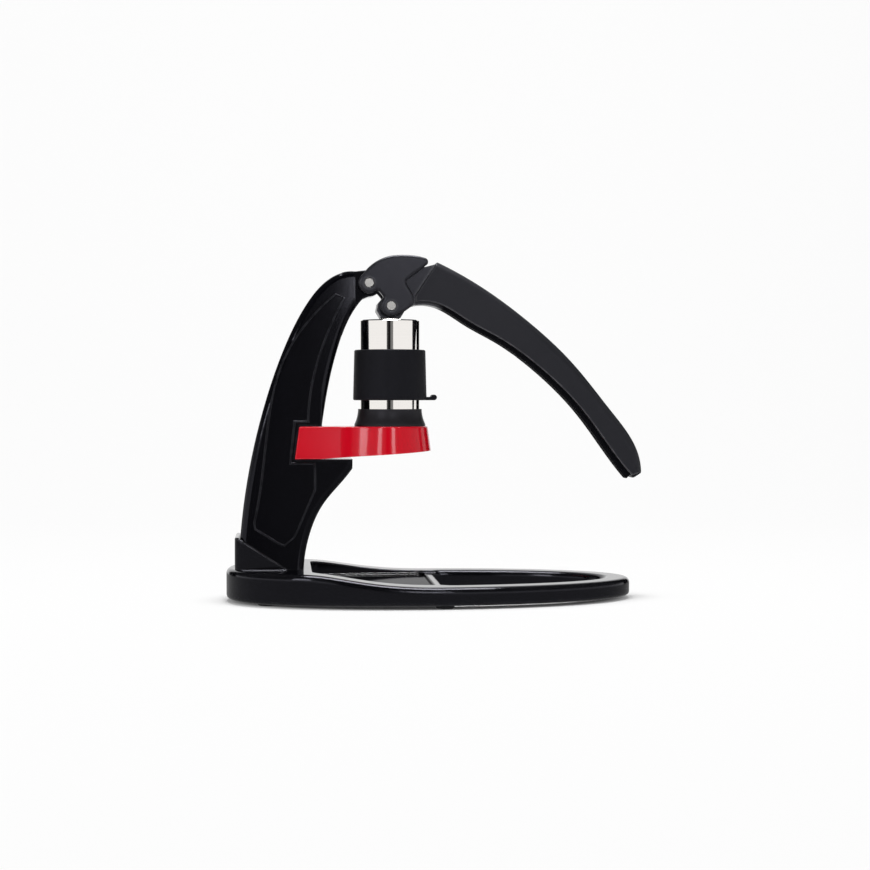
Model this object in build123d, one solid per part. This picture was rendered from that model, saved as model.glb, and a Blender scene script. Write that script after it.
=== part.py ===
"""Hand-lever espresso press: oval base, curved post, lever with press foot, red holder and brew cylinder.

Millimetres. X runs from the rear of the base to the lever's tip, Y across, Z up from the table.
The origin is on the table, half way along the part, on its plane of symmetry.
"""
from build123d import *
import os
from math import atan2, cos, degrees, radians, sin

# Overall sizes
overall_length = 328.0          # rear of the base to the tip of the lowered lever
base_length = 319.0
base_width = 156.0
brew_reach = 128.3              # rear of the base to the brew axis
fixed_clearance = 0.02          # radial, between pieces that are fixed to each other
running_clearance = 0.05        # radial, on pins, screws and piston
slide_clearance = 0.3           # between the holder's fork and the post, the tray and its recess
overrun = 20.0                  # how far cutting shapes run past the piece

# Base casting
foot_lift = 2.5                 # table to the underside of the casting
deck_height = 26.0              # table to the rear deck
rim_height = 16.5               # table to the crest of the front ring
base_wall = 4.0
rim_width = 21.0
rim_round = 4.4
opening_round = 4.0
lower_round = 2.8
deck_length = 58.0              # flat rear deck, from the rear end
slope_length = 104.0            # the rim comes down over this length in front of the deck
slope_shares = [(0.28, 1.0), (0.45, 0.0)]
collar_wall = 2.6
collar_edge = 1.2               # rounding of the collar's upper edge
collar_height = 25.0            # above the deck, at the rear
collar_run = 39.0               # length over which the collar comes down to the deck
socket_depth = 4.0
socket_floor = 5.0              # thickness under the foot of the post
base_rear_shares = [(0.0, 0.0), (0.0, 0.74), (0.16, 0.98), (0.48, 1.0)]
base_front_shares = [(0.48, 1.0), (0.78, 1.0), (1.0, 0.56), (1.0, 0.0)]

# Drip tray
tray_sheet = 1.2
tray_seat_height = 12.4         # table to the ledge that carries the tray
tray_lip = 2.6                  # height of the turned-up edge
tray_rear_setback = 62.0        # rear edge of the tray, behind the brew axis
tray_front_reach = 32.0         # front edge of the tray, ahead of the brew axis
tray_corner = 8.0
tray_bar = 5.0                  # width of the bar between tray and ring opening
bar_drop = 2.0                  # rim crest to the top of that bar

# Rubber feet
rubber_foot_radius = 7.0
rubber_foot_edge = 0.8
rubber_foot_shares = [(0.10, 0.46), (0.10, -0.46), (0.52, 0.86), (0.52, -0.86), (0.955, 0.0)]

# Post
post_inset = 9.6                # rear of the base to the rear of the post
post_foot_depth = 50.5          # length of the post's foot
post_foot_width = 52.0
post_top_width = 24.0
post_round = 5.0
neck_setback = 53.9             # front of the neck behind the brew axis
neck_width = 31.0               # between the two fork pockets
ledge_height = 111.0            # table to the ledge under the holder
ledge_setback = 30.3            # front of the ledge behind the brew axis
ledge_nose = 7.5                # height of the ledge's upright front
knuckle_radius = 10.4
knuckle_width = 22.0
bead_width = 1.6
bead_rise = 0.7
pocket_rim = 3.4                # from the fork's end to the bead round the pocket
post_rear_shares = [(0.045, 0.317), (0.217, 0.64), (0.380, 0.823), (0.531, 0.939), (0.652, 0.999),
                    (0.738, 1.024), (0.898, 1.037)]
post_front_shares = [(0.122, 0.25), (0.355, 0.56), (0.703, 0.82), (0.863, 0.888)]
post_shin_shares = [(0.850, 0.825), (0.412, 0.595), (0.100, 0.28)]
panel_rear_shares = [(0.122, 0.25), (0.203, 0.466), (0.3645, 0.772), (0.599, 0.909), (0.745, 0.965)]
panel_front_shares = [(0.812, 0.955), (0.716, 0.8745), (0.629, 0.783), (0.533, 0.571)]
panel_foot_shares = [(0.584, 0.42), (0.584, 0.352), (0.43, 0.207), (0.35, 0.18), (0.305, 0.187),
                     (0.13, 0.2315)]

# Clamp screw under the post
screw_radius = 4.0
screw_play = 0.1                # radial, where the screw passes through the base
screw_length = 26.0             # above the knob
screw_spare = 10.0              # depth of the hole past the screw's end
knob_radius = 13.0
knob_height = 8.0
knob_scallops = 8
knob_scallop_radius = 3.0
knob_edge = 0.8
washer_radius = 9.0
washer_thickness = 1.5

# Holder
fork_height = 25.0
ring_rise = 5.7                 # the underside climbs by this from the neck to the ring's front
ring_top_radius = 29.7
fork_outer_width = 41.0
fork_end_setback = 71.4         # rear end of the fork, at its top, behind the brew axis
holder_flare = 3.4              # growth of the outline from top to bottom
fork_blend_radius = 60.0
holder_edge_round = 1.2
basket_bore_radius = 23.4

# Filter basket, dispersion screen and seal
basket_radius = 22.9
basket_sheet = 1.0
basket_depth = 17.0
basket_rim_radius = 26.6
basket_lip = 1.6                # inward lip that carries the basket's screen
basket_hole_radius = 1.1
hole_rings = 3                  # rings of holes round the middle one
hole_step = 5.4
screen_sheet = 1.0
screen_radius = 22.6
screen_hole_radius = 1.2
seal_radius = 25.6
seal_width = 2.0
seal_section = 1.2

# Cylinder, collar and heat sleeve
cylinder_radius = 23.75
bore_radius = 20.0
cylinder_height = 80.3
cylinder_edge = 0.8
collar_flare_height = 13.5
collar_top_radius = 25.1
collar_foot_radius = 27.95
collar_foot_band = 1.6
cylinder_seat = 3.0             # underside of the collar to the end of the cylinder
sleeve_top_radius = 28.0
sleeve_foot_radius = 29.0
sleeve_height = 39.5
sleeve_gap = 6.9                # collar to sleeve
sleeve_round = 1.2
tab_reach = 36.6                # end of the pull tab, ahead of the brew axis
tab_width = 15.0
tab_thickness = 2.6
tab_bulb_radius = 2.2

# Plunger
plunger_cap_radius = 6.0         # slim enough to rise past the post's knuckle
plunger_cap_height = 9.0
stem_radius = 4.8
stem_fillet = 1.0
piston_height = 14.0
piston_rest_gap = 3.0           # screen to the piston when it is down
piston_ring_section = 1.3
piston_ring_shares = [0.3, 0.7]
piston_edge = 1.0

# Lever and press foot
press_gap = 1.2                 # plunger to press foot with the lever down
press_foot_depth = 9.3          # pin to the flat underside
press_foot_reach = 11.0          # from its pin to its shoulders
press_foot_width = 24.6
press_foot_round = 1.4
press_foot_shares = [(0.68, -1.0), (1.0, -0.38), (0.91, 0.22), (0.5, 0.78), (-0.5, 0.78), (-0.91, 0.22),
                     (-1.0, -0.38), (-0.68, -1.0)]
arm_drop = 17.8                 # press foot pin below the lever pin
pivot_setback = 17.2            # lever pin behind the brew axis
pin_radius = 3.9
pin_edge = 0.5
pin_sink = 0.3
cheek_gap = 26.0
cheek_thickness = 7.0
cheek_boss_radius = 8.3
cheek_corner = 2.5              # corners of the cheek's outline
cheek_round = 2.3               # its outer edge
cheek_crown_angle = 125.0       # where the crown leaves the boss round the lever pin
head_length = 53.6              # lever pin to the upper corner of the grip
head_height = 44.0              # lowest to highest point of a cheek
lever_drop = 153.3              # lever pin to the tip, downwards
neck_recess = 5.6               # cheeks stand proud of the neck by this
grip_start = 36.45              # lever pin to the lower end of the grip's head
grip_width = 31.0
grip_tip_width = 25.0
grip_round = 7.0
grip_head_edge = 1.2            # edge of the grip towards the neck
strip_start = 2.4               # bare strip of casting under the grip, at the head
strip_end = 4.4                 # and at the tip
strip_inset = 6.0               # the strip's sides lie inside the grip's by this
spine_width = 13.0
spine_cover = 6.0               # grip thickness over the spine
snap_length = 4.4               # slots in the strip's sides, where the grip is snapped on
snap_height = 2.6
snap_width = 14.4               # between the two slots
snap_share = (0.451, -0.362)
snap_lean = 35.6                # slope of the strip there
cheek_top_shares = [(0.071, 0.352), (0.312, 0.479), (0.486, 0.495), (0.696, 0.479), (0.821, 0.442)]
cheek_side_shares = [(0.856, 0.397), (0.838, 0.321), (0.530, 0.038), (0.562, -0.045), (0.630, -0.185),
                     (0.656, -0.380)]
cheek_belly_share = (0.530, -0.491)
cheek_notch_share = (0.157, -0.167)
neck_shares = [(0.607, -0.401), (0.607, -0.209), (0.506, -0.017), (0.526, 0.251), (0.830, 0.293)]
neck_corner_shares = (0.92, 0.92)       # how far up the grip's head the neck reaches
grip_head_shares = [(1.0, 0.388), (0.680, -0.206)]
grip_upper_shares = [(0.290, -0.014), (0.490, -0.184), (0.694, -0.405), (0.864, -0.649), (0.981, -0.855),
                     (1.0, -0.965)]
grip_lower_shares = [(0.0, -0.110), (0.088, -0.117), (0.222, -0.207), (0.357, -0.295), (0.524, -0.436),
                     (0.725, -0.673), (0.892, -0.941), (0.933, -1.0)]

# Places worked out from the sizes above
rear_x = -overall_length / 2
front_x = rear_x + base_length
brew_x = rear_x + brew_reach
half_width = base_width / 2
post_rear_x = rear_x + post_inset
post_front_x = post_rear_x + post_foot_depth
socket_z = deck_height - socket_depth
holder_z = ledge_height + slide_clearance
holder_top_z = holder_z + fork_height
pocket_top_z = holder_top_z + slide_clearance
neck_x = brew_x - neck_setback
ledge_x = brew_x - ledge_setback
fork_end_x = brew_x - fork_end_setback
cylinder_z = holder_top_z + cylinder_seat
cylinder_top_z = cylinder_z + cylinder_height
plunger_top_z = cylinder_top_z
foot_pin_z = plunger_top_z + press_gap + press_foot_depth
pivot_z = foot_pin_z + arm_drop
pivot_x = brew_x - pivot_setback
lever_reach = overall_length / 2 - pivot_x
head_width = cheek_gap + 2 * cheek_thickness
screen_z = holder_top_z
piston_z = screen_z + screen_sheet + piston_rest_gap
tray_rear_x = brew_x - tray_rear_setback
tray_front_x = brew_x + tray_front_reach
opening_rear_x = tray_front_x + slide_clearance + tray_bar
clamp_x = (post_rear_x + post_front_x) / 2


def side_prism(profile, width):
    """A closed profile drawn in X and Z, made solid across Y, centred on the plane of symmetry."""
    return extrude(Plane.XZ.offset(-width / 2) * make_face(profile), amount=width)


def side_cylinder(x, z, radius, width):
    """A round bar across Y."""
    return extrude(Plane.XZ.offset(-width / 2) * (Pos(x, z) * Circle(radius)), amount=width)


def slab(x0, x1, y0, y1, z0, z1):
    """A plain block between two corners."""
    block = Box(x1 - x0, y1 - y0, z1 - z0, align=(Align.MIN, Align.MIN, Align.MIN))
    return Pos(x0, y0, z0) * block


def turned(profile, x):
    """A closed profile of radius and height, turned about the upright axis at x."""
    return Pos(x, 0) * revolve(Plane.XZ * make_face(profile), Axis.Z)


def ring(inner, outer, height):
    """A flat ring standing on its lower face."""
    return extrude(Circle(outer) - Circle(inner), amount=height)


def spread(shares, origin, size):
    """Points at shares of a size, from an origin."""
    return [(origin[0] + u * size[0], origin[1] + v * size[1]) for u, v in shares]


def moved(points, lifts, closed):
    """Points moved to the left of the line through them, each by its own lift, square to its neighbours."""
    last = len(points) - 1
    result = []
    for number, (x, z) in enumerate(points):
        before = points[number - 1] if number or closed else points[0]
        after = points[(number + 1) % len(points)] if number < last or closed else points[last]
        dx, dz = after[0] - before[0], after[1] - before[1]
        share = lifts[number] / (dx ** 2 + dz ** 2) ** 0.5
        result.append((x - dz * share, z + dx * share))
    return result


def base_plan(inset):
    """The oval outline of the base, seen from above, drawn smaller by an inset on every side."""
    size = (base_length - 2 * inset, half_width - inset)
    corner = (rear_x + inset, 0)
    far = [Bezier(*spread(shares, corner, size)) for shares in (base_rear_shares, base_front_shares)]
    near = [mirror(curve, Plane.XZ) for curve in far]
    return make_face(far + near)


def base_top(drop):
    """Everything under the top of the casting: level deck, slope and level ring, lowered by drop."""
    deck_end = rear_x + deck_length
    slope_end = deck_end + slope_length
    deck_z = deck_height - drop
    rim_z = rim_height - drop
    points = spread(slope_shares, (deck_end, rim_z), (slope_length, deck_z - rim_z))
    slope = Bezier((deck_end, deck_z), *points, (slope_end, rim_z))
    rear = rear_x - overrun
    front = front_x + overrun
    edges = Polyline((slope_end, rim_z), (front, rim_z), (front, 0), (rear, 0), (rear, deck_z),
                     (deck_end, deck_z))
    return side_prism(slope + edges, base_width + overrun)


def inner_prism(x0, x1, z0, z1, grow):
    """Upright solid inside the base's rim between two places along X, its corners rounded, grown by grow."""
    rear = x0 - grow
    front = x1 + grow
    block = extrude(base_plan(rim_width - grow), amount=z1)
    block &= slab(rear, front, -base_width, base_width, z0, z1)
    upright = [e for e in block.edges()
               if e.bounding_box().diagonal - e.bounding_box().size.Z < fixed_clearance]
    ends = [e for e in upright if min(abs(e.center().X - rear), abs(e.center().X - front)) < tray_sheet]
    return fillet(ends, tray_corner + grow)


def foot_places():
    """Centres of the rubber feet, seen from above."""
    return spread(rubber_foot_shares, (rear_x, 0), (base_length, half_width))


def base_casting():
    """Oval casting, hollow below, with a ring opening, a tray recess and a slanted collar for the post."""
    plan = base_plan(0)
    tall = deck_height + collar_height
    tray_ends = (tray_rear_x - slide_clearance, tray_front_x + slide_clearance)
    ring_ends = (opening_rear_x, front_x)
    block = Pos(0, 0, foot_lift) * extrude(plan, amount=tall)
    block = fillet(block.edges().group_by(Axis.Z)[0], lower_round)
    body = block & base_top(0)
    crest = [e for e in body.edges() if e.bounding_box().min.Z > rim_height - rim_round]
    body = fillet(crest, rim_round)
    body -= inner_prism(*ring_ends, 0, tall, 0)
    lip = [e for e in body.edges()
           if abs(e.bounding_box().min.Z - rim_height) < fixed_clearance
           and e.bounding_box().max.Z - rim_height < fixed_clearance
           and e.bounding_box().min.X > opening_rear_x - fixed_clearance
           and e.bounding_box().max.X < front_x - rim_round - fixed_clearance]
    body = fillet(lip, opening_round)
    body -= inner_prism(*tray_ends, tray_seat_height, tall, 0)
    bar_ends = (tray_front_x - tray_corner, opening_rear_x + tray_corner)
    body -= inner_prism(*bar_ends, rim_height - bar_drop, tall, 0)
    hollow = extrude(base_plan(base_wall), amount=tall) & base_top(base_wall)
    hollow -= inner_prism(*ring_ends, 0, tall, base_wall)
    hollow -= inner_prism(*tray_ends, tray_seat_height - base_wall, tall, base_wall)
    hollow -= Pos(0, 0, socket_z - socket_floor) * extrude(collar_plan(), amount=tall)
    for x, y in foot_places():
        hollow -= Pos(x, y) * extrude(Circle(rubber_foot_radius), amount=tall)
    body -= hollow
    body += collar()
    body -= post_blank()
    return body - Pos(clamp_x, 0) * Cylinder(screw_radius + screw_play, tall)


def collar_plan():
    """The foot of the post in plan with the collar's wall round it."""
    length = post_foot_depth + 2 * collar_wall
    width = post_foot_width + 2 * collar_wall
    return Pos(clamp_x, 0) * RectangleRounded(length, width, post_round + collar_wall)


def collar_side():
    """Side view of the collar: upright at the rear, slanted down to the deck."""
    top = deck_height + collar_height
    rear = post_rear_x - collar_wall - overrun
    end = post_rear_x + collar_run
    floor = deck_height - base_wall
    return Polyline((rear, floor), (rear, top), (post_rear_x, top), (end, deck_height), (end, floor),
                    close=True)


def collar():
    """Slanted wall round the foot of the post, its upper edge rounded."""
    wall = extrude(collar_plan(), amount=deck_height + collar_height) & side_prism(collar_side(), base_width)
    brim = [e for e in wall.edges() if e.bounding_box().min.Z > deck_height - fixed_clearance
            and e.bounding_box().size.Y < post_foot_width]
    return fillet(brim, collar_edge)


def drip_tray():
    """Pressed steel pan with a turned-up edge, lying in the base's recess."""
    ends = (tray_rear_x - slide_clearance, tray_front_x + slide_clearance)
    top = tray_seat_height + tray_lip
    pan = inner_prism(*ends, tray_seat_height, top, -slide_clearance)
    return pan - inner_prism(*ends, tray_seat_height + tray_sheet, top, -slide_clearance - tray_sheet)


def rubber_foot(x, y):
    """Rubber disc under the casting."""
    disc = extrude(Circle(rubber_foot_radius), amount=foot_lift)
    return Pos(x, y) * chamfer(disc.edges().group_by(Axis.Z)[0], rubber_foot_edge)


def post_half_width(z):
    """Half the width of the post at a height: it narrows evenly from foot to top."""
    rise = (z - deck_height) / (pivot_z - deck_height)
    return (post_foot_width + rise * (post_top_width - post_foot_width)) / 2


def post_taper(grow):
    """Everything between the post's two leaning sides, each moved outwards by grow."""
    top = pivot_z + knuckle_radius + overrun
    low = post_half_width(0) + grow
    high = post_half_width(top) + grow
    face = make_face(Polyline((-low, 0), (low, 0), (high, top), (-high, top), close=True))
    return extrude(Plane.YZ.offset(rear_x - overrun) * face, amount=overall_length + overrun)


def post_profile():
    """Side view of the post: rear sweep, knuckle end, front sweep, neck, ledge and shin."""
    reach = pivot_x - post_rear_x
    crown = (pivot_x, pivot_z + knuckle_radius)
    chin = (pivot_x, pivot_z - knuckle_radius)
    rear = [(post_rear_x, socket_z)] + spread(post_rear_shares, (post_rear_x, 0), (reach, pivot_z))
    front = [(neck_x, pocket_top_z)]
    front += spread(post_front_shares, (neck_x, pocket_top_z), (pivot_x - neck_x, pivot_z - pocket_top_z))
    nose = (ledge_x, ledge_height - ledge_nose)
    heel = (post_front_x, deck_height)
    shin = [nose] + spread(post_shin_shares, heel, (ledge_x - heel[0], ledge_height - heel[1])) + [heel]
    return [Spline(*rear), Polyline(rear[-1], crown, chin, front[-1]), Spline(*front),
            Polyline(front[0], (neck_x, ledge_height), (ledge_x, ledge_height), nose), Spline(*shin),
            Polyline(shin[-1], (post_front_x, socket_z), rear[0])]


def post_blank():
    """The post's body without knuckle and pockets, its long edges rounded."""
    body = side_prism(post_profile(), base_width) & post_taper(0)
    chin = pivot_z - 3 * knuckle_radius
    rear = pivot_x - knuckle_radius
    body -= slab(rear, pivot_x + overrun, -base_width, base_width, chin, pivot_z + overrun)
    sweeps = [e for e in body.edges().filter_by(GeomType.BSPLINE) if e.length > fork_height]
    return fillet(sweeps, post_round)


def pocket_side(grow):
    """Side view of the pocket for the holder's fork, grown outwards: it is open at the front."""
    low = ledge_height - grow
    high = pocket_top_z + grow
    back = fork_end_x - slide_clearance - grow
    front = ledge_x + overrun
    return Polyline((back - holder_flare, low), (front, low), (front, high), (back, high), close=True)


def panel_face(grow):
    """Side view of the post's panel, grown outwards: it gives way to the fork's pocket."""
    shares = panel_rear_shares + panel_front_shares + panel_foot_shares
    points = spread(shares, (post_rear_x, 0), (pivot_x - post_rear_x, pivot_z))
    points = moved(points, [grow] * len(points), True)
    crown = len(panel_rear_shares)
    heel = crown + len(panel_front_shares)
    outline = [Spline(*points[:crown]), Line(points[crown - 1], points[crown]), Spline(*points[crown:heel]),
               Polyline(*points[heel - 1:], points[0])]
    return make_face(outline) - make_face(pocket_side(pocket_rim - grow))


def panel_bead():
    """Thin raised line round the panel on both sides of the post."""
    band = panel_face(bead_width / 2) - panel_face(-bead_width / 2)
    return extrude(Plane.XZ.offset(-base_width / 2) * band, amount=base_width) & post_taper(bead_rise)


def post():
    """Curved post with a beaded panel, two fork pockets over a ledge, and a knuckle for the lever pin."""
    body = post_blank() + panel_bead()
    neck = slab(rear_x, front_x, -neck_width / 2, neck_width / 2, 0, pivot_z)
    body -= side_prism(pocket_side(0), base_width) - neck
    tongue = side_prism(post_profile(), knuckle_width)
    root = pivot_x - 2 * knuckle_radius
    tongue &= slab(root, pivot_x, -base_width, base_width, pocket_top_z, pivot_z + overrun)
    body += tongue + side_cylinder(pivot_x, pivot_z, knuckle_radius, knuckle_width)
    body -= side_cylinder(pivot_x, pivot_z, pin_radius + running_clearance, base_width)
    hole = extrude(Circle(screw_radius + running_clearance), amount=screw_length + screw_spare)
    return body - Pos(clamp_x, 0, socket_z - socket_floor) * hole


def clamp_screw():
    """Screw with a scalloped hand knob, turned up through the base into the post."""
    top = socket_z - socket_floor - washer_thickness - slide_clearance
    rim = PolarLocations(knob_radius, knob_scallops)
    knob = extrude(Circle(knob_radius) - rim * Circle(knob_scallop_radius), amount=knob_height)
    knob = chamfer(knob.edges().group_by(Axis.Z)[0], knob_edge)
    shank = Pos(0, 0, knob_height) * extrude(Circle(screw_radius), amount=screw_length)
    return Pos(clamp_x, 0, top - knob_height) * (knob + shank)


def clamp_washer():
    """Flat washer between knob and base."""
    washer = ring(screw_radius + screw_play, washer_radius, washer_thickness)
    return Pos(clamp_x, 0, socket_z - socket_floor - washer_thickness) * washer


def holder_plan(grow):
    """The holder seen from above: ring, fork arms and the hollow curves that join them, grown by grow."""
    radius = ring_top_radius + grow
    half = fork_outer_width / 2 + grow
    blend = fork_blend_radius - grow
    rear = fork_end_x - grow
    run = ((radius + blend) ** 2 - (half + blend) ** 2) ** 0.5
    share = radius / (radius + blend)
    join = (brew_x - run, half)
    meet = (brew_x - run * share, (half + blend) * share)
    slant = degrees(atan2(meet[1], meet[0] - brew_x))
    arm = Polyline((rear, 0), (rear, half), join)
    hollow = RadiusArc(join, meet, -blend)
    crown = CenterArc((brew_x, 0), radius, 0, slant)
    far = [arm, hollow, crown]
    return make_face(far + [mirror(edge, Plane.XZ) for edge in far])


def holder():
    """Red holder: a ring for the basket and a fork that slides into the post's pockets."""
    upper = Pos(0, 0, holder_top_z) * holder_plan(0)
    lower = Pos(0, 0, holder_z) * holder_plan(holder_flare)
    body = loft([lower, upper], ruled=True)
    body = fillet(body.edges().group_by(Axis.Z)[-1], holder_edge_round)
    climb = ring_rise / (brew_x + ring_top_radius - neck_x)
    front = brew_x + 2 * ring_top_radius
    wedge = Polyline((neck_x, holder_z), (front, holder_z - overrun),
                     (front, holder_z + climb * (front - neck_x)), close=True)
    body -= side_prism(wedge, base_width)
    slot = neck_width / 2 + slide_clearance
    body -= slab(fork_end_x - overrun, neck_x + slide_clearance, -slot, slot, 0, pivot_z)
    body -= Pos(brew_x, 0) * extrude(Circle(basket_bore_radius), amount=pivot_z)
    seat = extrude(Circle(basket_rim_radius + fixed_clearance), amount=overrun)
    return body - Pos(brew_x, 0, holder_top_z - basket_sheet) * seat


def hole_places(rings, step):
    """Centres of a round pattern: one in the middle and rings of six, twelve and so on."""
    places = [(0, 0)]
    for number in range(1, rings + 1):
        count = 6 * number
        turns = [radians(360 * k / count) for k in range(count)]
        places += [(number * step * cos(turn), number * step * sin(turn)) for turn in turns]
    return places


def perforated(radius, sheet, hole_radius):
    """Flat round sheet with a pattern of holes, standing on its lower face."""
    holes = Sketch() + [Pos(*place) * Circle(hole_radius) for place in hole_places(hole_rings, hole_step)]
    return extrude(Circle(radius) - holes, amount=sheet)


def filter_basket():
    """Steel cup with a flat rim that hangs in the holder's ring, and a lip inside its foot."""
    foot = holder_top_z - basket_depth
    inner = basket_radius - basket_sheet
    lip = inner - basket_lip
    shelf = foot + basket_sheet
    brim = holder_top_z - basket_sheet
    section = ((lip, foot), (basket_radius, foot), (basket_radius, brim), (basket_rim_radius, brim),
               (basket_rim_radius, holder_top_z), (inner, holder_top_z), (inner, shelf), (lip, shelf))
    return turned(Polyline(*section, close=True), brew_x)


def basket_screen():
    """Perforated steel floor of the basket, lying on its lip."""
    disc = perforated(basket_radius - basket_sheet - fixed_clearance, basket_sheet, basket_hole_radius)
    return Pos(brew_x, 0, holder_top_z - basket_depth + basket_sheet) * disc


def dispersion_screen():
    """Perforated steel disc that spreads the water over the coffee, held between collar and basket."""
    return Pos(brew_x, 0, screen_z) * perforated(screen_radius, screen_sheet, screen_hole_radius)


def seal_ring():
    """Flat rubber seal in the collar's underside, pressed on the basket's rim."""
    return Pos(brew_x, 0, holder_top_z) * ring(seal_radius - seal_width, seal_radius, seal_section)


def cylinder_collar():
    """Black foot of the cylinder: a hollow curve that flares out to the holder."""
    foot = holder_top_z
    top = foot + collar_flare_height
    band = foot + collar_foot_band
    bend = (collar_top_radius, (top + band) / 2)
    flare = Bezier((collar_top_radius, top), bend, (collar_foot_radius, band))
    inner = bore_radius
    seat = cylinder_radius + fixed_clearance
    edges = Polyline((collar_foot_radius, band), (collar_foot_radius, foot), (inner, foot),
                     (inner, cylinder_z), (seat, cylinder_z), (seat, top), (collar_top_radius, top))
    body = turned([flare, edges], brew_x)
    body -= Pos(brew_x, 0, foot) * extrude(Circle(screen_radius + fixed_clearance), amount=screen_sheet)
    groove = ring(seal_radius - seal_width - fixed_clearance, seal_radius + fixed_clearance, seal_section)
    return body - Pos(brew_x, 0, foot) * groove


def brew_cylinder():
    """Polished steel tube with eased ends."""
    tube = ring(bore_radius, cylinder_radius, cylinder_height)
    return Pos(brew_x, 0, cylinder_z) * chamfer(tube.edges().group_by(Axis.Z)[-1], cylinder_edge)


def heat_sleeve():
    """Silicone sleeve, a little wider at its foot, with a pull tab that ends in a bead."""
    foot = holder_top_z + collar_flare_height + sleeve_gap
    top = foot + sleeve_height
    bore = cylinder_radius + fixed_clearance
    wall = ((bore, foot), (sleeve_foot_radius, foot), (sleeve_top_radius, top), (bore, top))
    body = turned(Polyline(*wall, close=True), brew_x)
    rims = [e for e in body.edges().filter_by(GeomType.CIRCLE) if e.radius > bore + fixed_clearance]
    body = fillet(rims, sleeve_round)
    end = brew_x + tab_reach - tab_bulb_radius
    start = brew_x + (bore + sleeve_foot_radius) / 2
    tab = slab(start, end, -tab_width / 2, tab_width / 2, foot, foot + tab_thickness)
    tab += side_cylinder(end, foot + tab_bulb_radius, tab_bulb_radius, tab_width)
    return body + (tab - Pos(brew_x, 0) * extrude(Circle(bore), amount=pivot_z))


def plunger_stem():
    """Turned stem with a flat round cap that the press foot pushes on."""
    low = piston_z + piston_height
    neck = plunger_top_z - plunger_cap_height
    curve = RadiusArc((stem_radius, neck - stem_fillet), (stem_radius + stem_fillet, neck), stem_fillet)
    edges = Polyline((stem_radius + stem_fillet, neck), (plunger_cap_radius, neck),
                     (plunger_cap_radius, plunger_top_z), (0, plunger_top_z), (0, low), (stem_radius, low),
                     (stem_radius, neck - stem_fillet))
    body = turned([curve, edges], brew_x)
    rim = body.edges().group_by(Axis.Z)[-1]
    return chamfer(rim, piston_edge)


def piston_head():
    """Piston with two ring grooves."""
    radius = bore_radius - running_clearance
    body = Pos(brew_x, 0, piston_z) * extrude(Circle(radius), amount=piston_height)
    body = chamfer(body.edges().group_by(Axis.Z)[0], piston_edge)
    for z in piston_ring_heights():
        groove = ring(radius - 2 * piston_ring_section, bore_radius, 2 * piston_ring_section)
        body -= Pos(brew_x, 0, z - piston_ring_section) * groove
    return body


def piston_ring_heights():
    """Middle heights of the two piston rings."""
    return [piston_z + piston_height * share for share in piston_ring_shares]


def piston_ring(z):
    """Round rubber ring in its groove, just clear of the bore."""
    section = piston_ring_section - fixed_clearance
    return Pos(brew_x, 0, z) * Torus(bore_radius - running_clearance - section, section)


def head_points(shares):
    """Points of the lever's head at shares of its length and height, from the lever pin."""
    return spread(shares, (pivot_x, pivot_z), (head_length, head_height))


def grip_points(shares):
    """Points of the grip at shares of its length and drop, from the place where it starts."""
    return spread(shares, (pivot_x + grip_start, pivot_z), (lever_reach - grip_start, lever_drop))


def seam_points():
    """The seam between grip and bare strip: the lower edge moved upwards, further towards the tip."""
    lower = grip_points(grip_lower_shares)
    growth = (strip_end - strip_start) / (len(lower) - 1)
    return moved(lower, [strip_start + growth * number for number in range(len(lower))], False)


def lever_taper(start, end):
    """Everything between the lever's two sides in plan: one width at the head, another at the tip."""
    rear = brew_x
    front = overall_length / 2 + fixed_clearance
    plan = Polyline((rear, -start / 2), (front, -end / 2), (front, end / 2), (rear, start / 2), close=True)
    return extrude(make_face(plan), amount=pivot_z + lever_drop)


def cheek_face():
    """Side view of a cheek: crown, notched front edge, and a boss round each pin."""
    crown = head_points(cheek_top_shares)
    side = head_points(cheek_side_shares)
    belly, notch = head_points([cheek_belly_share, cheek_notch_share])
    lean = radians(cheek_crown_angle)
    start = (pivot_x + cheek_boss_radius * cos(lean), pivot_z + cheek_boss_radius * sin(lean))
    lobe = (brew_x - cheek_boss_radius * cos(lean), foot_pin_z - cheek_boss_radius * sin(lean))
    outline = [Spline(start, *crown), ThreePointArc(crown[-1], side[0], side[1]),
               Polyline(*side[1:], belly, lobe, (brew_x, foot_pin_z), notch, (pivot_x, pivot_z), start)]
    bosses = [Pos(x, z) * Circle(cheek_boss_radius) for x, z in ((pivot_x, pivot_z), (brew_x, foot_pin_z))]
    return make_face(outline) + bosses


def cheek(side):
    """One cheek of the head, its outer edge rounded; side is 1 for the far one and -1 for the near one."""
    plate = extrude(Plane.XZ * cheek_face(), amount=-cheek_thickness)
    plate = fillet(plate.edges().filter_by(Axis.Y), cheek_corner)
    plate = fillet(plate.edges().group_by(Axis.Y)[-1], cheek_round)
    plate = Pos(0, cheek_gap / 2) * plate
    return plate if side > 0 else mirror(plate, Plane.XZ)


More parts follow.
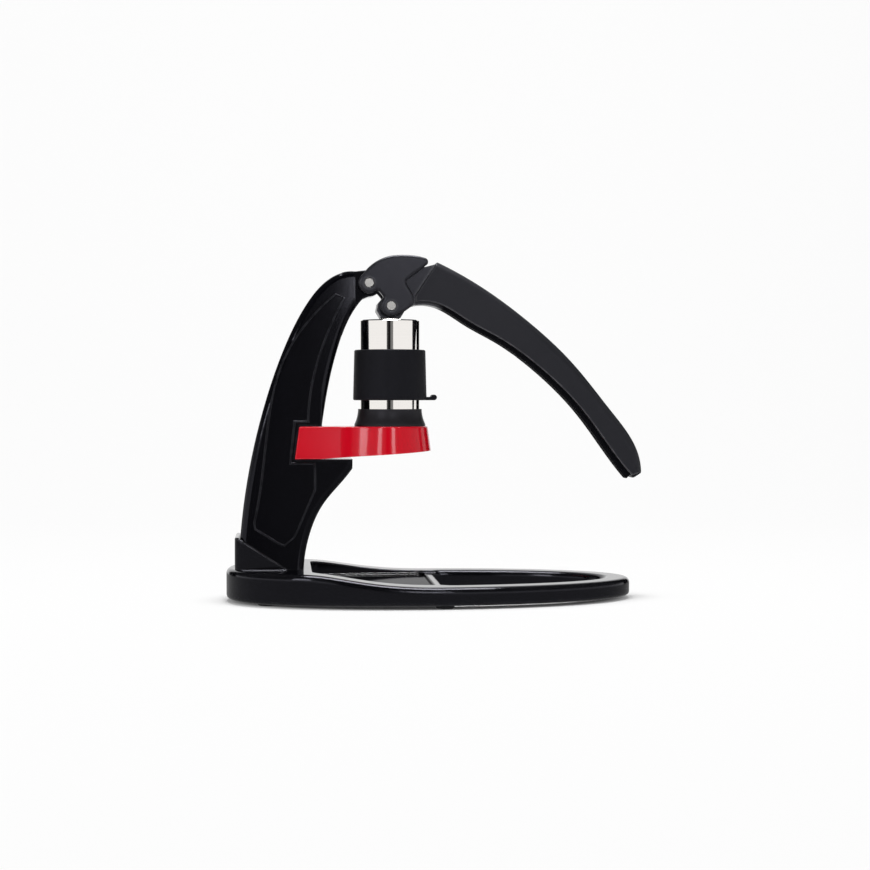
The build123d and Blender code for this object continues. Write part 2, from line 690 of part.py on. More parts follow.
def lever_arm():
    """Lever casting: two cheeks, the neck that joins them, and the strip and spine that carry the grip."""
    lower = grip_points(grip_lower_shares)
    seam = seam_points()
    upper = grip_points(grip_upper_shares)
    high, low = head_points(grip_head_shares)
    corner = spread([neck_corner_shares], low, (high[0] - low[0], high[1] - low[1]))
    neck = Polyline(*head_points(neck_shares), *corner, low, seam[0], lower[0], close=True)
    strip = [Spline(*lower), Line(lower[-1], seam[-1]), Spline(*seam), Line(seam[0], lower[0])]
    ridge = [(x - spine_cover, z - spine_cover) for x, z in upper[:-2]]
    root = moved(lower, [strip_start / 2] * len(lower), False)[:-1]
    spine = [Spline(*root), Line(root[-1], ridge[-1]), Spline(*ridge), Polyline(ridge[0], low, root[0])]
    body = side_prism(neck, head_width - 2 * neck_recess)
    body += cheek(1) + cheek(-1)
    taper = lever_taper(grip_width - 2 * strip_inset, grip_tip_width - 2 * strip_inset)
    body += side_prism(strip, base_width) & (taper - snap_slots())
    body += side_prism(spine, spine_width)
    for x, z in ((pivot_x, pivot_z), (brew_x, foot_pin_z)):
        body -= side_cylinder(x, z, pin_radius + fixed_clearance, base_width)
    return body


def snap_slots():
    """Two short slots, one in each side of the strip, lying along it."""
    (x, z), = grip_points([snap_share])
    slots = Box(snap_length, base_width, snap_height) - Box(snap_length, snap_width, snap_height)
    return Pos(x, 0, z) * Rot(0, snap_lean, 0) * slots


def lever_grip():
    """Soft grip cover: rounded along the top, open along the spine of the casting."""
    head = head_points(grip_head_shares)
    upper = grip_points(grip_upper_shares)
    seam = seam_points()
    profile = [Spline(head[0], *upper), Line(upper[-1], seam[-1]), Spline(*seam),
               Polyline(seam[0], head[1], head[0])]
    body = side_prism(profile, base_width) & lever_taper(grip_width, grip_tip_width)
    crest = [e for e in body.edges().filter_by(GeomType.BSPLINE) if e.length > lever_drop]
    crest.sort(key=lambda edge: edge.center().Z)
    body = fillet(crest[-2:], grip_round)
    rear = [e for e in body.edges() if e.bounding_box().max.X < head[0][0] + fixed_clearance
            and e.bounding_box().min.Z > head[1][1] - fixed_clearance]
    body = fillet(rear, grip_head_edge)
    return body - lever_arm()


def pin(x, z):
    """Steel pin across the lever's head, its ends just under the cheeks' faces."""
    bar = side_cylinder(x, z, pin_radius, head_width - 2 * pin_sink)
    return chamfer(bar.edges().filter_by(GeomType.CIRCLE), pin_edge)


def press_foot():
    """Foot that hangs between the cheeks and stays level on the plunger."""
    outline = spread(press_foot_shares, (brew_x, foot_pin_z), (press_foot_reach, press_foot_depth))
    body = side_prism(Polyline(*outline, close=True), press_foot_width)
    body = fillet(body.edges().filter_by(Axis.Y), press_foot_round)
    return body - side_cylinder(brew_x, foot_pin_z, pin_radius + running_clearance, base_width)


pieces = {"base_casting": base_casting(), "drip_tray": drip_tray(), "post": post(),
          "clamp_screw": clamp_screw(), "clamp_washer": clamp_washer(), "holder": holder(),
          "filter_basket": filter_basket(), "basket_screen": basket_screen(),
          "dispersion_screen": dispersion_screen(), "seal_ring": seal_ring(),
          "cylinder_collar": cylinder_collar(), "brew_cylinder": brew_cylinder(),
          "heat_sleeve": heat_sleeve(), "plunger_stem": plunger_stem(), "piston_head": piston_head(),
          "lever_arm": lever_arm(), "lever_grip": lever_grip(), "lever_pin": pin(pivot_x, pivot_z),
          "press_foot": press_foot(),
          "foot_pin": pin(brew_x, foot_pin_z)}
for number, place in enumerate(foot_places(), start=1):
    pieces[f"rubber_foot_{number}"] = rubber_foot(*place)
for number, height in enumerate(piston_ring_heights(), start=1):
    pieces[f"piston_ring_{number}"] = piston_ring(height)

os.makedirs("parts", exist_ok=True)
for node, shape in pieces.items():
    export_step(shape, f"parts/{node}.step")
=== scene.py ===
"""Finishes of a hand-lever espresso press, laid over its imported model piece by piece, as it is put together.

Metres, in the model's frame: X from the rear of the base to the lever's tip, Y across, Z up from the table.
"""
from math import atan, radians

import bpy
import numpy as np
from mathutils import Matrix, Vector


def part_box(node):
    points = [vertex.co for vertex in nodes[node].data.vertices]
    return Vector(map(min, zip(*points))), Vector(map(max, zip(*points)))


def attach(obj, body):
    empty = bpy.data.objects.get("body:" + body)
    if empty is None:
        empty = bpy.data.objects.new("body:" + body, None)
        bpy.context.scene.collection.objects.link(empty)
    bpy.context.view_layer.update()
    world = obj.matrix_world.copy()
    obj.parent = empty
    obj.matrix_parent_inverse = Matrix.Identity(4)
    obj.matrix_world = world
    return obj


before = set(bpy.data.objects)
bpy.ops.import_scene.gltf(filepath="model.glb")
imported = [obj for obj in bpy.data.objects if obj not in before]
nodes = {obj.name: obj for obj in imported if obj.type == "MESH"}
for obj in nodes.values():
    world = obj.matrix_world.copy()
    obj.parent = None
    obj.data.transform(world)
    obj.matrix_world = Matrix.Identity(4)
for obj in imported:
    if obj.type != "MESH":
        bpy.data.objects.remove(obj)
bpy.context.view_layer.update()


# Base casting: an oval ring with a raised rear deck and a collar for the post, one aluminium casting.
# It is sprayed with black enamel, which draws round over the edges and dries with a faint ripple.
def feed(tree, place, value):
    """Sets an input to a number or colour, or links another node's socket to it."""
    if isinstance(value, bpy.types.NodeSocket):
        tree.links.new(value, place)
    else:
        place.default_value = value


def put(tree, kind, settings=None, **values):
    """Adds a node: settings are its own properties, values its inputs by name, with _ for a space."""
    node = tree.nodes.new(kind)
    for name, value in (settings or {}).items():
        setattr(node, name, value)
    for name, value in values.items():
        feed(tree, node.inputs[name.replace("_", " ")], value)
    return node


def reckon(tree, operation, first, second=0.0):
    """One arithmetic step on two values, each a number or a socket."""
    step = put(tree, "ShaderNodeMath", {"operation": operation})
    feed(tree, step.inputs[0], first)
    feed(tree, step.inputs[1], second)
    return step.outputs["Value"]


def new_group(name, inputs, outputs):
    """A node group with its inputs and outputs: an input comes with a default, an output is a number."""
    group = bpy.data.node_groups.new(name, "ShaderNodeTree")
    for label, value in inputs.items():
        kind = "NodeSocketFloat" if isinstance(value, float) else "NodeSocketVector"
        group.interface.new_socket(label, in_out="INPUT", socket_type=kind).default_value = value
    for label in outputs:
        group.interface.new_socket(label, in_out="OUTPUT", socket_type="NodeSocketFloat")
    source = group.nodes.new("NodeGroupInput").outputs
    result = group.nodes.new("NodeGroupOutput").inputs
    return group, source, result


def skin_group():
    """Sprayed or moulded skin: a fine noise for ripple and a slow noise for clouds, both from 0 to 1."""
    group, source, result = new_group("skin", {"Ripple Scale": 900.0, "Cloud Scale": 25.0}, ("Ripple", "Cloud"))
    place = put(group, "ShaderNodeTexCoord").outputs["Object"]
    for name, detail in (("Ripple", 1.0), ("Cloud", 4.0)):
        noise = put(group, "ShaderNodeTexNoise", Vector=place, Scale=source[f"{name} Scale"], Detail=detail)
        feed(group, result[name], noise.outputs["Fac"])
    return group


def wear_and_highlight_group():
    """Worn edges and painted highlights: a mask from 0 to 1 along outer edges, where rays cast inwards soon
    leave the piece.

    A noise breaks it into patches.
    """
    group, source, result = new_group("edge_wear_and_highlight", {"Reach": 0.002}, ("Wear_And_Highlight",))
    place = put(group, "ShaderNodeTexCoord").outputs["Object"]
    inwards = {"inside": True, "only_local": True, "samples": 4}
    depth = put(group, "ShaderNodeAmbientOcclusion", inwards, Distance=source["Reach"])
    edge = put(group, "ShaderNodeMapRange", Value=depth.outputs["AO"], From_Min=0.95, From_Max=0.55)
    noise = put(group, "ShaderNodeTexNoise", Vector=place, Scale=160.0, Detail=3.0)
    patches = put(group, "ShaderNodeMapRange", Value=noise.outputs["Fac"], From_Min=0.35, From_Max=0.6,
                  To_Min=0.4)
    feed(group, result["Wear_And_Highlight"], reckon(group, "MULTIPLY", edge.outputs["Result"], patches.outputs["Result"]))
    return group


skin = skin_group()
edge_wear_and_highlight = wear_and_highlight_group()


def shader_of(material):
    """The principled shader of a finish."""
    return material.node_tree.nodes["Principled BSDF"]


def bare_finish(name, metallic, specular):
    """A named material, its tree and its shader; colour, gloss and bump are linked later."""
    material = bpy.data.materials.new(name)
    material.use_nodes = True
    shader = shader_of(material)
    shader.inputs["Metallic"].default_value = metallic
    shader.inputs["Specular IOR Level"].default_value = specular
    return material, material.node_tree, shader


def blend(tree, mask, first, second):
    """A colour that a mask from 0 to 1 moves from the first to the second; the first may be a socket."""
    mix = put(tree, "ShaderNodeMix", {"data_type": "RGBA"}, Factor=mask, A=first, B=second)
    return mix.outputs["Result"]


def gloss_between(tree, shader, mask, low, high):
    """Roughness: a mask from 0 to 1 moves it from low to high."""
    spread = put(tree, "ShaderNodeMapRange", Value=mask, To_Min=low, To_Max=high)
    feed(tree, shader.inputs["Roughness"], spread.outputs["Result"])


def raise_surface(tree, shader, height, depth, edge):
    """Bump: a height from 0 to 1 stands for that depth in metres, over edges eased to a radius."""
    eased = put(tree, "ShaderNodeBevel", Radius=edge).outputs["Normal"]
    bump = put(tree, "ShaderNodeBump", Normal=eased, Height=height, Distance=depth, Strength=1.0)
    feed(tree, shader.inputs["Normal"], bump.outputs["Normal"])


def skin_finish(name, dark, light, gloss, ripple, edge, specular, wear_and_highlight):
    """Enamel, plastic or rubber: tones and gloss follow the clouds; ripple is (scale, depth in metres).

    Edges are eased to a radius, as a sprayed coat or a mould leaves them; the last argument is (reach, tone): a
    lighter tone on outer edges, partly worn paint and partly painted highlight.
    """
    ripple_scale, ripple_depth = ripple
    wear_and_highlight_reach, wear_and_highlight_tone = wear_and_highlight
    material, tree, shader = bare_finish(name, metallic=0.0, specular=specular)
    shader.inputs["Specular Tint"].default_value = (0.86, 0.86, 1.0, 1)
    surface = put(tree, "ShaderNodeGroup", {"node_tree": skin}, Ripple_Scale=ripple_scale).outputs
    wear_and_highlight_mask = put(tree, "ShaderNodeGroup", {"node_tree": edge_wear_and_highlight}, Reach=wear_and_highlight_reach).outputs["Wear_And_Highlight"]
    tone = blend(tree, surface["Cloud"], dark, light)
    # Outer edges take the lighter tone: partly worn paint, partly painted highlight.
    feed(tree, shader.inputs["Base Color"], blend(tree, wear_and_highlight_mask, tone, wear_and_highlight_tone))
    gloss_between(tree, shader, surface["Cloud"], *gloss)
    raise_surface(tree, shader, surface["Ripple"], ripple_depth, edge)
    return material


def dress(material, *names):
    """Gives a finish to model nodes."""
    for name in names:
        for place in nodes[name].material_slots:
            place.material = material


# The last tone of each skin finish lights its outer edges: partly worn paint, partly painted highlight.
base_enamel = skin_finish("base_enamel", dark=(0.0018, 0.0018, 0.0027, 1), light=(0.0034, 0.0034, 0.0048, 1),
                          gloss=(0.06, 0.12), ripple=(500.0, 0.000006), edge=0.0018, specular=0.4,
                          wear_and_highlight=(0.0018, (0.09, 0.09, 0.095, 1)))
dress(base_enamel, "base_casting")


# Rubber feet: five discs stuck under the casting, black rubber, matt from the mould.
# They carry the press and keep the enamel off the table.
foot_rubber = skin_finish("foot_rubber", dark=(0.012, 0.012, 0.012, 1), light=(0.022, 0.022, 0.022, 1),
                          gloss=(0.65, 0.8), ripple=(1500.0, 0.00004), edge=0.0003, specular=0.3,
                          wear_and_highlight=(0.0008, (0.04, 0.04, 0.04, 1)))
dress(foot_rubber, *[name for name in nodes if name.startswith("rubber_foot")])


# Drip tray: a shallow pan pressed from stainless sheet and brushed lengthways.
# It lies loose in the recess of the base, in front of the post.
# Its grazing tint is low, so that the sheet stays grey where it is seen flat.
def brush_group():
    """Brushed or turned metal: noise on stretched coordinates gives lines, a slow noise gives scuffs."""
    group, source, result = new_group("brush", {"Stretched": (0.0, 0.0, 0.0)}, ("Lines", "Scuffs"))
    place = put(group, "ShaderNodeTexCoord").outputs["Object"]
    lines = put(group, "ShaderNodeTexNoise", Vector=source["Stretched"], Scale=1.0, Detail=3.0)
    scuffs = put(group, "ShaderNodeTexNoise", Vector=place, Scale=45.0, Detail=5.0)
    feed(group, result["Lines"], lines.outputs["Fac"])
    feed(group, result["Scuffs"], scuffs.outputs["Fac"])
    return group


brush = brush_group()


def metal_finish(name, dark, light, gloss, stretch, depth):
    """Bare metal with lines: stretch gives the lines per metre along each axis, depth their height."""
    edge = 0.0003
    material, tree, shader = bare_finish(name, metallic=1.0, specular=0.5)
    place = put(tree, "ShaderNodeTexCoord").outputs["Object"]
    pulled = put(tree, "ShaderNodeMapping", Vector=place, Scale=stretch).outputs["Vector"]
    surface = put(tree, "ShaderNodeGroup", {"node_tree": brush}, Stretched=pulled).outputs
    feed(tree, shader.inputs["Base Color"], blend(tree, surface["Lines"], dark, light))
    gloss_between(tree, shader, surface["Scuffs"], *gloss)
    raise_surface(tree, shader, surface["Lines"], depth, edge)
    return material


tray_steel = metal_finish("tray_steel", dark=(0.17, 0.17, 0.175, 1), light=(0.265, 0.265, 0.27, 1),
                          gloss=(0.04, 0.09), stretch=(20.0, 3000.0, 3000.0), depth=0.0000008)
shader_of(tray_steel).inputs["Specular Tint"].default_value = (0.10, 0.10, 0.105, 1)
dress(tray_steel, "drip_tray")


# Post: a curved casting with a beaded panel on each side, gloss black enamel over a ground surface.
# It stands in the base's collar and is pulled down by a hand screw from below.
post_enamel = skin_finish("post_enamel", dark=(0.0016, 0.0016, 0.0026, 1), light=(0.0032, 0.0032, 0.0046, 1),
                          gloss=(0.06, 0.11), ripple=(420.0, 0.000006), edge=0.0006, specular=0.25,
                          wear_and_highlight=(0.0018, (0.035, 0.035, 0.040, 1)))
dress(post_enamel, "post")


# Hand screw and washer: turned steel, the knob scalloped for the fingers.
# The screw comes up through the base into the foot of the post.
screw_steel = metal_finish("screw_steel", dark=(0.35, 0.35, 0.36, 1), light=(0.55, 0.55, 0.56, 1),
                           gloss=(0.3, 0.45), stretch=(60.0, 60.0, 4000.0), depth=0.000006)
dress(screw_steel, "clamp_screw", "clamp_washer")


# Holder: a ring and a fork in one zinc casting, gloss red enamel with a clear coat.
# Its fork slides into the post's pockets and its ring carries the filter basket.
holder_enamel = skin_finish("holder_enamel", dark=(0.70, 0.0015, 0.012, 1), light=(0.78, 0.0030, 0.019, 1),
                            gloss=(0.14, 0.20), ripple=(350.0, 0.000006), edge=0.0006, specular=0.2,
                            wear_and_highlight=(0.0010, (0.86, 0.06, 0.08, 1)))
shader_of(holder_enamel).inputs["Coat Weight"].default_value = 0.35
shader_of(holder_enamel).inputs["Coat Roughness"].default_value = 0.05
dress(holder_enamel, "holder")


# Filter basket and screens: stainless sheet, drawn and perforated; the basket hangs in the holder's ring.
# A flat rubber seal lies between its rim and the collar above, and the piston's rings are the same rubber.
basket_steel = metal_finish("basket_steel", dark=(0.45, 0.45, 0.46, 1), light=(0.62, 0.62, 0.63, 1),
                            gloss=(0.18, 0.3), stretch=(40.0, 40.0, 3000.0), depth=0.000004)
dress(basket_steel, "filter_basket", "basket_screen", "dispersion_screen")
dress(foot_rubber, "seal_ring", "piston_ring_1", "piston_ring_2")


# Cylinder collar: a moulded black foot that flares out to the holder, satin from the mould.
# The brew cylinder is pressed into it.
collar_plastic = skin_finish("collar_plastic", dark=(0.017, 0.016, 0.018, 1), light=(0.026, 0.024, 0.027, 1),
                             gloss=(0.34, 0.46), ripple=(1200.0, 0.00002), edge=0.0004, specular=0.3,
                             wear_and_highlight=(0.0008, (0.05, 0.05, 0.055, 1)))
dress(collar_plastic, "cylinder_collar")


# Brew cylinder: a polished stainless tube with hair-fine turning lines round it.
# It holds the hot water over the basket.
cylinder_steel = metal_finish("cylinder_steel", dark=(0.88, 0.850, 0.815, 1), light=(0.95, 0.920, 0.885, 1),
                              gloss=(0.04, 0.08), stretch=(15.0, 15.0, 5000.0), depth=0.0000008)
dress(cylinder_steel, "brew_cylinder")


# Heat sleeve: black silicone with a pull tab, moulded soft and matt, with a light bloom on its surface.
# It is stretched over the cylinder and taken off by its tab.
sleeve_silicone = skin_finish("sleeve_silicone", dark=(0.006, 0.006, 0.008, 1), light=(0.009, 0.009, 0.012, 1),
                              gloss=(0.48, 0.6), ripple=(1800.0, 0.00003), edge=0.0004, specular=0.2,
                              wear_and_highlight=(0.0008, (0.030, 0.030, 0.034, 1)))
shader_of(sleeve_silicone).inputs["Sheen Weight"].default_value = 0.05
dress(sleeve_silicone, "heat_sleeve")


# Plunger: a turned steel stem, blackened, on a moulded black piston with two rubber rings in its grooves.
# The press foot pushes on the stem's flat top.
plunger_steel = metal_finish("plunger_steel", dark=(0.045, 0.045, 0.047, 1), light=(0.085, 0.085, 0.088, 1),
                             gloss=(0.25, 0.38), stretch=(30.0, 30.0, 4500.0), depth=0.000003)
dress(plunger_steel, "plunger_stem")
dress(collar_plastic, "piston_head")


# Lever: a casting with two cheeks at its head and a long curved spine, satin black enamel with a fine grain.
# The press foot hangs between the cheeks and has the same finish.
lever_enamel = skin_finish("lever_enamel", dark=(0.009, 0.009, 0.012, 1), light=(0.016, 0.016, 0.020, 1),
                           gloss=(0.24, 0.34), ripple=(2200.0, 0.00003), edge=0.0006, specular=0.45,
                           wear_and_highlight=(0.0022, (0.085, 0.085, 0.090, 1)))
# Forward of strip_to the lever turns matt and darker: the darker tone is painted shade on the strip under the
# grip.
strip_from, strip_to = 0.000, 0.006


def show_mixed(tree, mask, first, second):
    """Sends two shaders to the material's output, blended by a mask from 0 to 1."""
    mix = put(tree, "ShaderNodeMixShader", Fac=mask)
    feed(tree, mix.inputs[1], first)
    feed(tree, mix.inputs[2], second)
    feed(tree, tree.nodes["Material Output"].inputs["Surface"], mix.outputs["Shader"])


def shaded_dull_strip(material):
    """Blends the enamel into a matt skin along X, where only the strip under the grip is bare; its darker tone
    is painted shade.
    """
    tree = material.node_tree
    place = put(tree, "ShaderNodeTexCoord").outputs["Object"]
    forward = put(tree, "ShaderNodeSeparateXYZ", Vector=place).outputs["X"]
    along = put(tree, "ShaderNodeMapRange", Value=forward, From_Min=strip_from, From_Max=strip_to)
    shaded_dull = put(tree, "ShaderNodeBsdfPrincipled", Base_Color=(0.006, 0.006, 0.008, 1), Roughness=0.7,
               Specular_IOR_Level=0.05)
    show_mixed(tree, along.outputs["Result"], shader_of(material).outputs["BSDF"], shaded_dull.outputs["BSDF"])


shaded_dull_strip(lever_enamel)
dress(lever_enamel, "lever_arm", "press_foot")


# Grip: a soft black cover moulded over the spine of the lever, matt and finely grained.
# It leaves a strip of the casting bare along the underside.
# Its bright edge tone paints a light line of highlight along the grip's lower edge.
grip_rubber = skin_finish("grip_rubber", dark=(0.014, 0.014, 0.017, 1), light=(0.025, 0.025, 0.029, 1),
                          gloss=(0.38, 0.50), ripple=(2600.0, 0.00005), edge=0.0006, specular=0.3,
                          wear_and_highlight=(0.0013, (0.15, 0.15, 0.158, 1)))
dress(grip_rubber, "lever_grip")


# Grip plug: a thin wedge of hard black plastic that closes the end of the grip, pushed in from the tip.
# It is thicker towards the underside, and its rim is rounded over.
plug_middle = np.array([0.15960, 0.0, 0.09872])
plug_along = np.array([0.958, 0.0, 0.286])
plug_across = np.array([0.0, 1.0, 0.0])
plug_out = np.array([0.286, 0.0, -0.958])
plug_half_length = 0.0042
plug_half_width = 0.0106
plug_thick = 0.0020
plug_wedge = 0.0010
plug_sunk = 0.0003
plug_rim = 0.0007
plug_corner_power = 0.4
plug_last_ring = 0.6            # share of the half length by which the last ring is drawn in


def smooth_piece(name, points, faces):
    """A smooth-shaded mesh object, linked to the scene."""
    mesh = bpy.data.meshes.new(name)
    mesh.from_pydata(points.tolist(), [], faces)
    mesh.polygons.foreach_set("use_smooth", [True] * len(faces))
    piece = bpy.data.objects.new(name, mesh)
    bpy.context.scene.collection.objects.link(piece)
    return piece


def grip_plug():
    """Pad over two parameters: round an oval with squared corners, and from its foot over the rim inwards.

    The oval is cosine and sine to a low power. The rim is a quarter circle, drawn in by its own radius.
    The height falls evenly along the pad, so that it is a wedge.
    """
    round_steps, rim_steps = 64, 6
    angle = np.linspace(0, 2 * np.pi, round_steps, endpoint=False)
    along = np.sign(np.cos(angle)) * np.abs(np.cos(angle)) ** plug_corner_power
    across = np.sign(np.sin(angle)) * np.abs(np.sin(angle)) ** plug_corner_power
    quarter = np.linspace(0, np.pi / 2, rim_steps)
    drawn = np.concatenate([[0.0], plug_rim * (1 - np.cos(quarter)), [plug_half_length * plug_last_ring]])
    height = np.concatenate([[0.0], 1 - plug_rim / plug_thick * (1 - np.sin(quarter)), [1.0]])
    run = along[None, :] * (plug_half_length - drawn[:, None])
    width = across[None, :] * (plug_half_width - drawn[:, None])
    rise = height[:, None] * (plug_thick - plug_wedge * along[None, :]) - plug_sunk
    points = (plug_middle + run[..., None] * plug_along + rise[..., None] * plug_out
              + width[..., None] * plug_across).reshape(-1, 3)
    rows = len(drawn)
    first = np.arange((rows - 1) * round_steps).reshape(rows - 1, round_steps)
    after = np.roll(first, -1, axis=1)
    faces = np.stack([first, first + round_steps, after + round_steps, after], axis=-1).reshape(-1, 4).tolist()
    faces.append(list(range(round_steps)))
    faces.append(list(range((rows - 1) * round_steps, rows * round_steps))[::-1])
    return smooth_piece("grip_plug", points, faces)


plug = grip_plug()
plug.data.materials.append(
    skin_finish("plug_plastic", dark=(0.006, 0.006, 0.007, 1), light=(0.010, 0.010, 0.011, 1),
                gloss=(0.22, 0.32), ripple=(1500.0, 0.00002), edge=0.0002, specular=0.4,
                wear_and_highlight=(0.0005, (0.05, 0.05, 0.055, 1))))
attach(plug, "lever")


# Pins: ground steel, pressed through the cheeks, with faced ends that show fine rings.
# One carries the lever in the post's knuckle, the other the press foot.
pin_dark = (0.42, 0.41, 0.40, 1)
pin_light = (0.66, 0.65, 0.635, 1)
pin_gloss = 0.22, 0.38
pin_edge = 0.0003
ring_scale = 2500.0
ring_depth = 0.000006


def pin_finish(name):
    """Ground steel with rings round the pin's axis, which lies across: lines follow the distance from it."""
    low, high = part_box(name)
    middle = (low + high) / 2
    material, tree, shader = bare_finish(f"{name}_steel", metallic=1.0, specular=0.5)
    place = put(tree, "ShaderNodeTexCoord").outputs["Object"]
    flat = put(tree, "ShaderNodeMapping", Vector=place, Location=(-middle.x, 0, -middle.z), Scale=(1, 0, 1))
    reach = put(tree, "ShaderNodeVectorMath", {"operation": "LENGTH"}, Vector=flat.outputs["Vector"])
    rings = put(tree, "ShaderNodeTexNoise", {"noise_dimensions": "1D"}, W=reach.outputs["Value"],
                Scale=ring_scale, Detail=2.0).outputs["Fac"]
    feed(tree, shader.inputs["Base Color"], blend(tree, rings, pin_dark, pin_light))
    gloss_between(tree, shader, rings, *pin_gloss)
    raise_surface(tree, shader, rings, ring_depth, pin_edge)
    return material


for pin_name in ("lever_pin", "foot_pin"):
    dress(pin_finish(pin_name), pin_name)


# Stage: one pale sheet that lies as the floor and sweeps up behind as the wall.
# It is white to the camera, with a soft contact shadow round the base, and its floor is dim in reflections.
sheet_half = 2.2
sheet_near = -2.6
sheet_far = 1.3
sweep_radius = 0.5
sheet_top = 2.4
wall_from, wall_to = 0.4, 0.9           # along Y: reflections go over from the floor to the wall
floor_card = 0.3                        # brightness of the floor in reflections
card_full, card_end = 0.70, 0.85        # from the middle, along X
oval_offset = (0.03, 0.0, 0.0)
oval_scale = (6.0, 12.0, 6.0)
shadow_inner, shadow_outer = 0.85, 1.15
shadow_glow, open_glow = 0.02, 0.92


def swept_sheet():
    """Profile carried along X: straight floor, a quarter circle, then an upright wall."""
    columns, turn_steps = 5, 24
    turn = np.linspace(0, np.pi / 2, turn_steps)
    curve_y = sheet_far - sweep_radius + sweep_radius * np.sin(turn)
    curve_z = sweep_radius - sweep_radius * np.cos(turn)
    y = np.concatenate([[sheet_near], curve_y, [sheet_far]])
    z = np.concatenate([[0.0], curve_z, [sheet_top]])
    x = np.linspace(-sheet_half, sheet_half, columns)
    points = np.stack([np.tile(x, len(y)), np.repeat(y, columns), np.repeat(z, columns)], axis=1)
    first = (np.arange(len(y) - 1)[:, None] * columns + np.arange(columns - 1)[None, :]).ravel()
    faces = np.stack([first, first + 1, first + columns + 1, first + columns], axis=1)
    return smooth_piece("studio_sheet", points, faces.tolist())


def sheet_paper():
    """White paper, plain diffuse for light; the camera sees it glow, but for an oval round the base.

    Reflections see a dim floor that rises to a white wall behind the press, a strip between two dark edges.
    """
    material = bpy.data.materials.new("sheet_paper")
    material.use_nodes = True
    tree = material.node_tree
    tree.nodes.remove(shader_of(material))
    ray = put(tree, "ShaderNodeLightPath").outputs
    place = put(tree, "ShaderNodeTexCoord").outputs["Object"]
    split = put(tree, "ShaderNodeSeparateXYZ", Vector=place).outputs
    wall = put(tree, "ShaderNodeMapRange", Value=split["Y"], From_Min=wall_from, From_Max=wall_to,
               To_Min=floor_card)
    aside = reckon(tree, "ABSOLUTE", split["X"])
    strip = put(tree, "ShaderNodeMapRange", Value=aside, From_Min=card_end, From_Max=card_full)
    card = reckon(tree, "MULTIPLY", strip.outputs["Result"], wall.outputs["Result"])
    oval = put(tree, "ShaderNodeMapping", Vector=place, Location=oval_offset, Scale=oval_scale)
    around = put(tree, "ShaderNodeVectorMath", {"operation": "LENGTH"}, Vector=oval.outputs["Vector"])
    bare = put(tree, "ShaderNodeMapRange", {"interpolation_type": "SMOOTHSTEP"}, Value=around.outputs["Value"],
               From_Min=shadow_inner, From_Max=shadow_outer, To_Min=shadow_glow, To_Max=open_glow)
    shown = reckon(tree, "MULTIPLY", ray["Is Camera Ray"], bare.outputs["Result"])
    mirrored = reckon(tree, "MAXIMUM", ray["Is Glossy Ray"], ray["Is Transmission Ray"])
    paper = put(tree, "ShaderNodeBsdfDiffuse", Color=(0.85, 0.85, 0.85, 1))
    glow = put(tree, "ShaderNodeEmission", Color=(1, 1, 1, 1),
               Strength=reckon(tree, "MAXIMUM", card, ray["Is Camera Ray"]))
    show_mixed(tree, reckon(tree, "MAXIMUM", shown, mirrored), paper.outputs["BSDF"], glow.outputs["Emission"])
    return material


studio_sheet = swept_sheet()
studio_sheet.data.materials.append(sheet_paper())


# Light: a low white tent round the press, with a slit for the camera, a panel overhead and two in front.
# The tent's cloth draws broad bright bands on steel, the slit a dark line between them, the panels the gloss.
def light_panel(name, place, aim, size, power):
    """A rectangular panel at a place, turned to face a point."""
    lamp = bpy.data.lights.new(name, "AREA")
    lamp.shape = "RECTANGLE"
    lamp.size, lamp.size_y = size
    lamp.energy = power
    piece = bpy.data.objects.new(name, lamp)
    piece.location = place
    piece.rotation_euler = (Vector(aim) - Vector(place)).to_track_quat("-Z", "Y").to_euler()
    bpy.context.scene.collection.objects.link(piece)


light_panel("overhead_panel", place=(0.0, 0.0, 1.5), aim=(0.0, 0.0, 0.1), size=(0.85, 0.42), power=21.0)
light_panel("right_strip", place=(0.16, -1.66, 0.66), aim=(0.0, 0.0, 0.12), size=(0.30, 0.30), power=2.3)
light_panel("left_strip", place=(-0.95, -1.42, 0.66), aim=(0.0, 0.0, 0.12), size=(0.34, 0.34), power=2.8)
tent_glow = 0.95
roof_glow = 0.06
roof_from, roof_to = 0.14, 0.30         # height of a direction's unit vector
slit_from, slit_to = radians(-16.0), radians(0.0)
slit_glow = 0.03
slit_core, slit_rim = 0.7, 1.05         # shares of the slit's half width
flank_to = radians(8.0)
flank_fade = radians(2.0)
flank_glow = 0.2


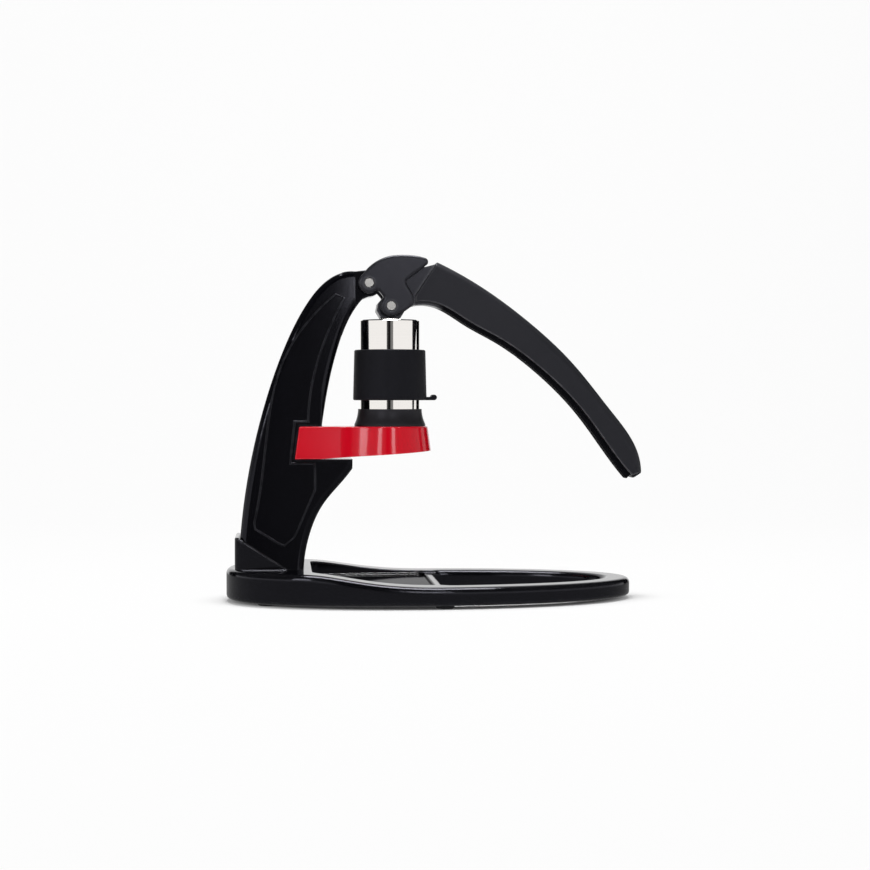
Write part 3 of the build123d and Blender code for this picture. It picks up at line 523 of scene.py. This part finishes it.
def light_tent():
    """World by direction: even cloth up to a height, a dim roof above it, and a dark upright slit in front.

    A dim flank stands beside the slit. The camera itself sees plain white.
    """
    world = bpy.data.worlds.new("tent")
    world.use_nodes = True
    tree = world.node_tree
    sky = tree.nodes["Background"].inputs
    sky["Color"].default_value = (1, 1, 1, 1)
    middle, half = (slit_from + slit_to) / 2, (slit_to - slit_from) / 2
    towards = put(tree, "ShaderNodeTexCoord").outputs["Generated"]
    split = put(tree, "ShaderNodeSeparateXYZ", Vector=towards).outputs
    turn = reckon(tree, "ARCTAN2", split["X"], reckon(tree, "MULTIPLY", split["Y"], -1.0))
    away = reckon(tree, "ABSOLUTE", reckon(tree, "SUBTRACT", turn, middle))
    cloth = put(tree, "ShaderNodeMapRange", Value=away, From_Min=half * slit_core, From_Max=half * slit_rim,
                To_Min=slit_glow)
    flank = put(tree, "ShaderNodeMapRange", Value=turn, From_Min=flank_to, From_Max=flank_to + flank_fade,
                To_Min=flank_glow)
    roof = put(tree, "ShaderNodeMapRange", Value=split["Z"], From_Min=roof_from, From_Max=roof_to,
               To_Min=tent_glow, To_Max=roof_glow)
    beside = reckon(tree, "MAXIMUM", flank.outputs["Result"], reckon(tree, "LESS_THAN", turn, middle))
    sides = reckon(tree, "MULTIPLY", cloth.outputs["Result"], beside)
    glow = reckon(tree, "MULTIPLY", sides, roof.outputs["Result"])
    ray = put(tree, "ShaderNodeLightPath").outputs
    feed(tree, sky["Strength"], reckon(tree, "MAXIMUM", glow, ray["Is Camera Ray"]))
    return world


bpy.context.scene.world = light_tent()


# Camera: level with the brew cylinder, a little to the rear of the press, with a long lens.
# Its height, distance and turn are read from the photograph's horizon, scale and the base's ring.
photo_width = 870
horizon_row = 395
metres_per_pixel = 0.00079
camera_distance = 1.4
camera_height = 0.1608
camera_turn = 5.0
lens_length = camera_distance / metres_per_pixel
camera_pitch = atan((photo_width / 2 - horizon_row) / lens_length)
lens = bpy.data.cameras.new("camera")
lens.sensor_fit = "HORIZONTAL"
lens.sensor_width = 36.0
lens.lens = lens.sensor_width * lens_length / photo_width
camera = bpy.data.objects.new("camera", lens)
turn = Matrix.Rotation(radians(-camera_turn), 4, "Z")
tilt = Matrix.Rotation(np.pi / 2 - camera_pitch, 4, "X")
camera.matrix_world = turn @ Matrix.Translation((0, -camera_distance, camera_height)) @ tilt
bpy.context.scene.collection.objects.link(camera)
bpy.context.scene.camera = camera
bpy.context.scene.view_settings.view_transform = "Standard"
